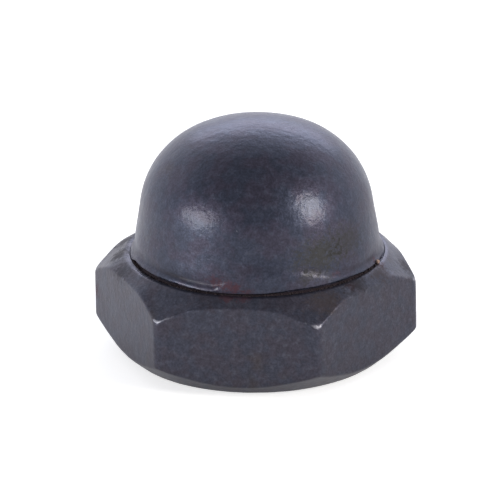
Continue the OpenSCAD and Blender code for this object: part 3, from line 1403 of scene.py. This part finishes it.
    def build(self, groups: FinishGroups) -> bpy.types.Object:
        """Builds the cap, dresses it and stands it in the place of its solid.

        Args:
            groups: The shared shader groups.

        Returns:
            The cap.
        """
        holder = new_object("cap_section", self.section_mesh())
        bearings = {
            "Broad Start": self.broad_start,
            "Broad End": self.broad_end,
            "Droop Turn": self.droop_bearing,
            "Front Turn": self.front_bearing,
            "Closed Turn": self.closed_bearing,
        }
        lengths = {
            "Droop": self.droop,
            "Front Droop": self.front_droop,
            "Closed Droop": self.closed_droop,
            "Closing": self.closing,
            "Wave Height": self.wave_height,
            "Dent Depth": self.dent_depth,
            "Lip Level": self.lip_low() + 0.15,
            "Lip Reach": self.lip_reach,
            "Foot Level": self.foot_level + 0.2,
        }
        counts = {
            "Steps Around": self.steps_around,
            "Wave Seed": self.wave_seed,
            "Dent Scale": self.dent_scale,
        }
        turns = {name: math.radians(bearing - 90.0) for name, bearing in bearings.items()}
        sizes = counts | turns | {name: length * MM for name, length in lengths.items()}
        mesh = bake_tree(holder, self.tree(self.finish.material(groups)), sizes)
        mesh.name = self.node
        points = points_of(mesh)
        set_wear(mesh, self.wear_of(points))
        self.thin_crease_shade_and_dirt(mesh, points)
        points[:, :2] += np.array(CAP_ASIDE)
        move_points(mesh, points)
        piece = new_object("dome_cap_steel", mesh)
        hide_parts(self.node)
        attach(piece, "root")
        return piece


def bake_tree(
    holder: bpy.types.Object, tree: bpy.types.NodeTree, sizes: dict[str, object]
) -> bpy.types.Mesh:
    """Runs a geometry tree on an object and returns the result as a plain mesh.

    Args:
        holder: The object that the tree starts from. It is removed.
        tree: The geometry tree.
        sizes: The value of each of the tree's named inputs.

    Returns:
        The finished mesh, with its faces turned outwards.
    """
    modifier = holder.modifiers.new("shape", "NODES")
    modifier.node_group = tree
    sockets = {s.name: s.identifier for s in tree.interface.items_tree if s.in_out == "INPUT"}
    for name, value in sizes.items():
        modifier[sockets[name]] = value
    seen = holder.evaluated_get(bpy.context.evaluated_depsgraph_get())
    made = bpy.data.meshes.new_from_object(seen)
    holder.modifiers.remove(modifier)
    bpy.data.objects.remove(holder)
    turn_outwards(made)
    return made


def turn_outwards(mesh: bpy.types.Mesh) -> None:
    """Turns the faces of a mesh outwards, if the volume that they enclose is negative.

    Args:
        mesh: A closed mesh.
    """
    mesh.calc_loop_triangles()
    corners = np.array([t.vertices[:] for t in mesh.loop_triangles])
    points = np.array([v.co[:] for v in mesh.vertices])
    a, b, c = points[corners[:, 0]], points[corners[:, 1]], points[corners[:, 2]]
    if np.einsum("ij,ij->i", a, np.cross(b, c)).sum() < 0:
        mesh.flip_normals()


@dataclass
class SeamRust:
    """The packed dirt and the grains of rust that are lodged between the lip and the recess.

    Lengths are in millimetres, and angles in degrees. Insets are in from the cap's rim,
    and depths are below the nut's top face. How thick the grains lie is a share of the
    number given for a square millimetre: the sparse share all round, with up to 1 more
    in the clumps and up to the rusty share more near the rusty bearing. The clumps'
    scale is in waves to the metre.
    """

    rim_radius: float
    nut_top: float
    finish: RustFinish
    dirt: RustFinish
    seam_gap: float = 0.1
    dirt_inset: float = 0.19
    dirt_clearance: float = 0.01
    dirt_foot_depth: float = 0.4
    dirt_outer_depth: float = 0.14
    dirt_middle_depth: float = 0.05
    dirt_inner_rise: float = 0.05
    dirt_lumps: float = 0.05
    dirt_steps: int = 360
    band_inset: float = 0.12
    band_depth: float = 0.03
    band_steps: int = 120
    grains_per_mm2: float = 80.0
    sparse_share: float = 0.3
    rusty_share: float = 1.5
    clump_scale: float = 700.0
    smallest: float = 0.025
    largest: float = 0.065
    grain_lumps: float = 0.028
    large_grain: float = 0.13
    large_bearing: float = 79.0
    large_rise: float = 0.08
    rusty_bearing: float = -4.0
    seed: int = 11

    def ring(self) -> bpy.types.Mesh:
        """Builds the narrow band in the seam that the grains lie on.

        Returns:
            The band's mesh, in metres.
        """
        inner, outer = self.rim_radius - self.band_inset, self.rim_radius + self.seam_gap
        level = (self.nut_top - self.band_depth) * MM
        steps = self.band_steps
        points, faces = [], []
        for i in range(steps):
            turn = 2 * math.pi * i / steps
            for radius in (inner, outer):
                points.append((radius * MM * math.cos(turn), radius * MM * math.sin(turn), level))
            ahead = (i + 1) % steps
            faces.append((2 * i, 2 * i + 1, 2 * ahead + 1, 2 * ahead))
        made = bpy.data.meshes.new("seam_band")
        made.from_pydata(points, [], faces)
        return made

    def tree(self, finish: bpy.types.Material) -> bpy.types.NodeTree:
        """Builds the geometry tree that scatters the grains on the band.

        Args:
            finish: The material that the tree puts on the grains.

        Returns:
            The tree, whose inputs are the sizes, the places and the seed.
        """
        takes = {
            Kind.GEOMETRY: ("Band",),
            Kind.FLOAT: ("Density", "Large Size", "Smallest", "Largest"),
            Kind.VECTOR: ("Rusty Side", "Large Place"),
            Kind.INT: ("Seed",),
        }
        sheet = new_group("GeometryNodeTree", "seam_grains", takes, {Kind.GEOMETRY: ("Grains",)})
        given = sheet.add("NodeGroupInput").outputs
        place = sheet.add("GeometryNodeInputPosition").outputs[0]
        heading = sheet.vector("NORMALIZE", place)
        rusty = sheet.measure("DOT_PRODUCT", heading, given["Rusty Side"])
        rusty = sheet.ramp(rusty, 0.965, 0.99, 0.0, self.rusty_share)
        clumps = sheet.ramp(sheet.noise(place, self.clump_scale, 2.0), 0.52, 0.66)
        thick = sheet.plus(self.sparse_share, sheet.plus(clumps, rusty))
        density = sheet.times(thick, given["Density"])
        feeds = {"Mesh": given["Band"], "Density": density, "Seed": given["Seed"]}
        spots = sheet.add("GeometryNodeDistributePointsOnFaces", feeds)
        grain = sheet.add("GeometryNodeMeshIcoSphere", {"Radius": 1.0, "Subdivisions": 2})
        # A random value's number inputs are 2 and 3, and its vector's upper end is 1
        feeds = {2: given["Smallest"], 3: given["Largest"], "Seed": given["Seed"]}
        size = sheet.add("FunctionNodeRandomValue", feeds, data_type="FLOAT")
        whole_turns = {1: (2 * math.pi,) * 3}
        tip = sheet.add("FunctionNodeRandomValue", whole_turns, data_type="FLOAT_VECTOR")
        feeds = {
            "Points": spots.outputs["Points"],
            "Instance": grain.outputs["Mesh"],
            "Rotation": tip.outputs[0],
            "Scale": size.outputs[1],
        }
        placed = sheet.add("GeometryNodeInstanceOnPoints", feeds)
        large = sheet.add("GeometryNodePoints", {"Count": 1, "Position": given["Large Place"]})
        feeds = {"Geometry": grain.outputs["Mesh"], "Name": "tan", "Value": 1.0}
        tan = sheet.add("GeometryNodeStoreNamedAttribute", feeds, data_type="FLOAT", domain="POINT")
        feeds = {"Points": large.outputs[0], "Instance": tan.outputs[0], "Scale": given["Large Size"]}
        large_grain = sheet.add("GeometryNodeInstanceOnPoints", feeds)
        both = sheet.add("GeometryNodeJoinGeometry", {"Geometry": placed.outputs[0]})
        sheet.feed(both.inputs[0], large_grain.outputs[0])
        real = sheet.add("GeometryNodeRealizeInstances", {"Geometry": both.outputs[0]})
        feeds = {"Geometry": real.outputs[0], "Material": finish}
        dressed = sheet.add("GeometryNodeSetMaterial", feeds)
        sheet.add("NodeGroupOutput", {"Grains": dressed.outputs[0]})
        return sheet.tree

    def packing(self) -> bpy.types.Object:
        """Builds the dirt that is packed round the cap's foot.

        Returns:
            The ring of dirt.
        """
        inner = self.rim_radius - self.dirt_inset
        outer = self.rim_radius + self.seam_gap - self.dirt_clearance
        low = self.nut_top - self.dirt_foot_depth
        section = [
            (inner, low),
            (outer, low),
            (outer, self.nut_top - self.dirt_outer_depth),
            ((inner + outer) / 2, self.nut_top - self.dirt_middle_depth),
            (inner, self.nut_top + self.dirt_inner_rise),
        ]
        turns = np.linspace(0.0, 2 * math.pi, self.dirt_steps, endpoint=False)
        points = np.array([(r * math.cos(t), r * math.sin(t), z) for t in turns for r, z in section])
        on_top = points[:, 2] > low + 0.1
        points[:, 2] += self.dirt_lumps * noise_at(points, 0.35, self.seed + 5) * on_top
        points[:, :2] += np.array(CAP_ASIDE)
        made = closed_ring("seam_dirt", points, len(section))
        turn_outwards(made)
        made.materials.append(self.dirt.material())
        piece = new_object("seam_dirt", made)
        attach(piece, "root")
        return piece

    def build(self) -> bpy.types.Object:
        """Scatters the grains and makes each one lumpy.

        Returns:
            All the grains, as one piece.
        """
        holder = new_object("seam_band", self.ring())
        turn, rusty = math.radians(self.large_bearing), math.radians(self.rusty_bearing)
        middle = (self.rim_radius + self.seam_gap / 2) * MM
        level = (self.nut_top + self.large_rise) * MM
        sizes = {
            "Density": self.grains_per_mm2 / MM**2,
            "Rusty Side": (math.sin(rusty), -math.cos(rusty), 0.0),
            "Large Place": (middle * math.sin(turn), -middle * math.cos(turn), level),
            "Large Size": self.large_grain * MM,
            "Smallest": self.smallest * MM,
            "Largest": self.largest * MM,
            "Seed": self.seed,
        }
        mesh = bake_tree(holder, self.tree(self.finish.material()), sizes)
        points = points_of(mesh)
        lumps = np.stack([noise_at(points, 0.06, self.seed + i) for i in range(3)], axis=1)
        points += self.grain_lumps * lumps
        points[:, :2] += np.array(CAP_ASIDE)
        move_points(mesh, points)
        piece = new_object("seam_rust", mesh)
        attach(piece, "root")
        return piece


def direction(azimuth: float, elevation: float) -> Vector:
    """Finds the direction from the nut to a place.

    Args:
        azimuth: The place's bearing, in degrees.
        elevation: Its angle above the floor, in degrees.

    Returns:
        A vector of length 1.
    """
    turn, rise = math.radians(azimuth), math.radians(elevation)
    across = math.cos(rise)
    return Vector((math.sin(turn) * across, -math.cos(turn) * across, math.sin(rise)))


@dataclass(frozen=True)
class Lamp:
    """One soft lamp that faces the nut.

    The bearing is measured from the camera's side, and it grows to the right.
    """

    name: str
    bearing: float
    elevation: float
    distance: float
    width: float
    tallness: float
    brightness: float
    colour: Colour = (1.0, 1.0, 1.0)

    def build(self, towards: float, target: Vector) -> bpy.types.Object:
        """Sets the lamp up.

        Args:
            towards: The camera's azimuth, in degrees.
            target: The point that the lamp faces.

        Returns:
            The lamp.
        """
        data = bpy.data.lights.new(f"lamp_{self.name}", "AREA")
        data.shape = "ELLIPSE"
        data.size, data.size_y = self.width, self.tallness
        area = math.pi / 4 * self.width * self.tallness
        data.energy = self.brightness * math.pi * area
        data.color = self.colour
        away = direction(towards + self.bearing, self.elevation)
        lamp = bpy.data.objects.new(data.name, data)
        lamp.location = target + away * self.distance
        lamp.rotation_euler = away.to_track_quat("Z", "Y").to_euler()
        bpy.context.scene.collection.objects.link(lamp)
        return lamp


@dataclass
class Studio:
    """The pale floor, the soft light and the camera.

    Lengths are in metres, and angles in degrees. The camera's picture is taken as 500 by
    500 pixels. seat_pixel is where the middle of the nut's seat falls in it, and
    pixels_per_mm is the scale there. The floor's glow is what the camera and what the
    nut's mirroring skin see of it, the latter more at the left rear. The room has one
    level all round, to which the sweep behind and the low front add theirs.
    """

    azimuth: float = 7.73
    elevation: float = 21.05
    roll: float = 0.93
    distance: float = 0.5
    pixels_per_mm: float = 16.564
    seat_pixel: tuple[float, float] = (256.25, 345.9)
    picture: float = 500.0
    sensor: float = 36.0
    floor_half: float = 1.2
    floor_level: float = -0.01 * MM
    floor_colour: Colour = (0.8, 0.8, 0.8)
    floor_seen: float = 0.64
    floor_mirrored: float = 0.2
    floor_mirrored_left: float = 0.44
    left_rear: tuple[float, float, float] = (-0.8, 0.6, 0.0)
    left_rear_reach: float = 0.025
    room_colour: Colour = (0.97, 0.985, 1.05)
    room_level: float = 0.36
    sweep_level: float = 0.7
    front_level: float = 0.45
    white: Colour = (1.0, 1.0, 1.0)
    target: Vector = field(default_factory=lambda: Vector((0.0, 0.0, 8 * MM)))
    # Name, bearing, elevation, distance, width, tallness, brightness and colour
    lamps: tuple[Lamp, ...] = (
        Lamp("left", -60.0, 12.0, 0.30, 0.19, 0.09, 7.6, (1.0, 1.0, 0.98)),
        Lamp("right", 59.5, 23.0, 0.30, 0.10, 0.16, 11.0, (1.05, 1.0, 0.93)),
        Lamp("back", 173.0, 26.0, 0.45, 0.46, 0.14, 1.9, (0.88, 0.92, 1.18)),
    )

    def camera(self) -> bpy.types.Object:
        """Builds the camera, at the viewing angle of the photograph.

        Returns:
            The camera, which is now the scene's own.
        """
        turn, roll = math.radians(self.azimuth), math.radians(self.roll)
        right = Vector((math.cos(turn), math.sin(turn), 0.0))
        back = direction(self.azimuth, self.elevation)
        up = back.cross(right)
        across = right * math.cos(roll) - up * math.sin(roll)
        upright = right * math.sin(roll) + up * math.cos(roll)
        centre = self.picture / 2
        shift_x = (self.seat_pixel[0] - centre) / self.pixels_per_mm * MM
        shift_y = (centre - self.seat_pixel[1]) / self.pixels_per_mm * MM
        data = bpy.data.cameras.new("camera")
        data.sensor_width = self.sensor
        data.lens = self.pixels_per_mm * self.distance / MM / self.picture * self.sensor
        data.clip_start, data.clip_end = 0.01, 20.0
        camera = bpy.data.objects.new("camera", data)
        camera.location = back * self.distance - across * shift_x - upright * shift_y
        camera.rotation_mode = "QUATERNION"
        camera.rotation_quaternion = Matrix((across, upright, back)).transposed().to_quaternion()
        bpy.context.scene.collection.objects.link(camera)
        bpy.context.scene.camera = camera
        return camera

    def floor(self) -> bpy.types.Object:
        """Builds the white floor, which keeps the nut's soft shadow.

        Returns:
            The floor.
        """
        half, level = self.floor_half, self.floor_level
        mesh = bpy.data.meshes.new("floor")
        corners = [(x * half, y * half, level) for x, y in ((-1, -1), (1, -1), (1, 1), (-1, 1))]
        mesh.from_pydata(corners, [], [(0, 1, 2, 3)])
        floor = new_object("floor", mesh)
        made = bpy.data.materials.new("white_floor")
        sheet = emptied(made)
        path = sheet.add("ShaderNodeLightPath").outputs
        seen = sheet.math("MAXIMUM", path["Is Camera Ray"], path["Is Transmission Ray"])
        seen = sheet.times(seen, self.floor_seen)
        where = sheet.add("ShaderNodeTexCoord").outputs["Object"]
        left_rear = sheet.measure("DOT_PRODUCT", where, self.left_rear)
        ends = (self.floor_mirrored, self.floor_mirrored_left)
        mirrored = sheet.ramp(left_rear, 0.0, self.left_rear_reach, *ends)
        mirrored = sheet.times(path["Is Glossy Ray"], mirrored)
        own = sheet.math("MAXIMUM", seen, mirrored)
        glow = sheet.add("ShaderNodeEmission", {"Color": rgba(self.white), "Strength": own})
        lit = sheet.add("ShaderNodeBsdfDiffuse", {"Color": rgba(self.floor_colour)})
        mixed = sheet.add("ShaderNodeAddShader", {0: glow.outputs[0], 1: lit.outputs[0]})
        sheet.add("ShaderNodeOutputMaterial", {"Surface": mixed.outputs[0]})
        mesh.materials.append(made)
        return floor

    def world(self) -> bpy.types.World:
        """Builds the surroundings: a white sweep behind, greyer above and in front.

        Returns:
            The world, which is now the scene's own.
        """
        world = bpy.data.worlds.new("studio")
        sheet = emptied(world)
        heading = sheet.add("ShaderNodeTexCoord").outputs["Generated"]
        feeds = {"Vector": heading, "Angle": -math.radians(self.azimuth)}
        turned = sheet.add("ShaderNodeVectorRotate", feeds, rotation_type="Z_AXIS")
        parts = sheet.parts(turned.outputs[0])
        behind = sheet.ramp(parts["Y"], -0.25, 0.35)
        low = sheet.ramp(parts["Z"], 0.96, 0.53)
        front_low = sheet.ramp(parts["Z"], 0.3, -0.05)
        sweep = sheet.times(behind, low)
        front = sheet.times(sheet.minus(1.0, behind), front_low)
        level = sheet.plus(self.room_level, sheet.times(sweep, self.sweep_level))
        level = sheet.plus(level, sheet.times(front, self.front_level))
        path = sheet.add("ShaderNodeLightPath").outputs
        seen = sheet.math("MAXIMUM", path["Is Camera Ray"], path["Is Transmission Ray"])
        kind = "ShaderNodeBackground"
        room = sheet.add(kind, {"Color": rgba(self.room_colour), "Strength": level})
        white = sheet.add(kind, {"Color": rgba(self.white), "Strength": 1.0})
        feeds = {0: seen, 1: room.outputs[0], 2: white.outputs[0]}
        mixed = sheet.add("ShaderNodeMixShader", feeds)
        sheet.add("ShaderNodeOutputWorld", {"Surface": mixed.outputs[0]})
        bpy.context.scene.world = world
        return world

    def build(self) -> None:
        """Sets up the camera, the floor, the lamps and the surroundings."""
        self.camera()
        self.floor()
        self.world()
        for lamp in self.lamps:
            lamp.build(self.azimuth, self.target)
        bpy.context.scene.view_settings.view_transform = "Standard"


def box_mm(node: str) -> tuple[Vector, Vector]:
    """The lowest and highest corner of a solid in the frame, in millimetres."""
    low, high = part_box(node)
    return Vector(low) / MM, Vector(high) / MM


def main() -> None:
    """Builds the studio and each piece of the nut, and reports them."""
    logging.basicConfig(level=logging.INFO, format="%(name)s: %(message)s")
    nut_low, nut_high = box_mm("hex_nut")
    cap_low, cap_high = box_mm("dome_cap")
    thread = next(m for m in frame["record"]["mounts"] if m["name"] == "thread")
    rim = (cap_high.x - cap_low.x) / 2
    studio = Studio()
    studio.build()
    groups = FinishGroups()
    seam = nut_high.z
    dirt, brown, olive = (0.026, 0.023, 0.027), (0.064, 0.05, 0.05), (0.056, 0.054, 0.05)
    # Each stain has its bearing, radius, height, reach, strength and colour
    nut_skin = OxideFinish(
        name="nut_oxide",
        cool=(0.05, 0.053, 0.078),
        violet=(0.055, 0.05, 0.07),
        warm=(0.06, 0.05, 0.053),
        pale=(0.07, 0.072, 0.095),
        warm_share=0.04,
        patch_scale=420.0,
        oil=0.3,
        grazing=(0.97, 0.96, 1.0),
        roughness=0.42,
        roughness_spread=0.3,
        grain_depth=0.03,
        stains=(
            RustStain(-5.0, rim + 0.35, seam, 0.6, 0.5),
            RustStain(2.5, rim + 0.3, seam, 0.6, 0.45),
            RustStain(52.0, rim + 0.5, seam - 0.2, 0.5, 0.45),
            RustStain(78.0, rim + 0.5, seam, 0.5, 0.4),
            RustStain(-90.0, nut_high.x + 0.15, seam - 2.8, 1.1, 0.5),
            RustStain(-84.0, rim + 0.7, seam - 0.2, 1.2, 0.75, dirt),
            RustStain(-100.0, rim + 0.7, seam - 0.2, 1.2, 0.75, dirt),
            RustStain(-66.0, rim + 0.6, seam - 0.3, 1.3, 0.5, dirt),
            RustStain(36.0, rim + 0.9, seam - 0.5, 1.5, 0.6, brown),
            RustStain(55.0, rim + 0.6, seam - 0.2, 1.3, 0.7, dirt),
            RustStain(72.0, rim + 0.6, seam - 0.2, 1.2, 0.6, brown),
            RustStain(93.0, rim + 1.4, seam - 1.0, 1.1, 0.6, dirt),
        ),
    )
    cap_skin = OxideFinish(
        name="cap_oxide",
        cool=(0.04, 0.046, 0.074),
        violet=(0.048, 0.044, 0.07),
        warm=(0.058, 0.052, 0.054),
        pale=(0.058, 0.063, 0.092),
        warm_share=0.0,
        patch_scale=300.0,
        oil=0.36,
        roughness=0.42,
        roughness_spread=0.4,
        grain_depth=0.03,
        stains=(
            RustStain(-3.5, rim - 0.05, seam + 0.45, 0.8, 0.6),
            RustStain(-12.0, rim - 0.05, seam + 0.75, 0.65, 0.5),
            RustStain(4.0, rim, seam + 0.2, 0.5, 0.45),
            RustStain(48.0, rim - 0.15, seam + 0.6, 0.5, 0.3),
            RustStain(78.0, rim, seam + 0.3, 0.35, 0.45),
            RustStain(32.0, rim - 0.15, seam + 0.75, 0.75, 0.5, olive),
            RustStain(40.0, rim - 0.3, seam + 2.0, 2.2, 0.8, olive),
            RustStain(56.0, rim - 0.3, seam + 2.4, 2.0, 0.6, olive),
        ),
    )
    nut = HexNut(
        flats=nut_high.y - nut_low.y,
        height=nut_high.z,
        corner_reach=nut_high.x,
        bore_radius=thread["dims"]["r_mm"],
        recess_floor=cap_low.z,
        rim_radius=rim,
        finish=nut_skin,
    )
    cap = DomeCap(
        rim_radius=rim,
        foot_level=cap_low.z,
        nut_top=nut_high.z,
        crown_level=cap_high.z,
        finish=cap_skin,
    )
    grit = SeamRust(
        rim_radius=rim,
        nut_top=nut_high.z,
        finish=RustFinish("seam_grit", dark=(0.036, 0.025, 0.028), light=(0.46, 0.32, 0.26)),
        dirt=RustFinish("seam_dirt", dark=(0.021, 0.012, 0.018), light=(0.032, 0.02, 0.028)),
    )
    for piece in (nut.build(groups), cap.build(groups), grit.packing(), grit.build()):
        log.info("%s: %d faces", piece.name, len(piece.data.polygons))


if __name__ == "__main__":
    main()
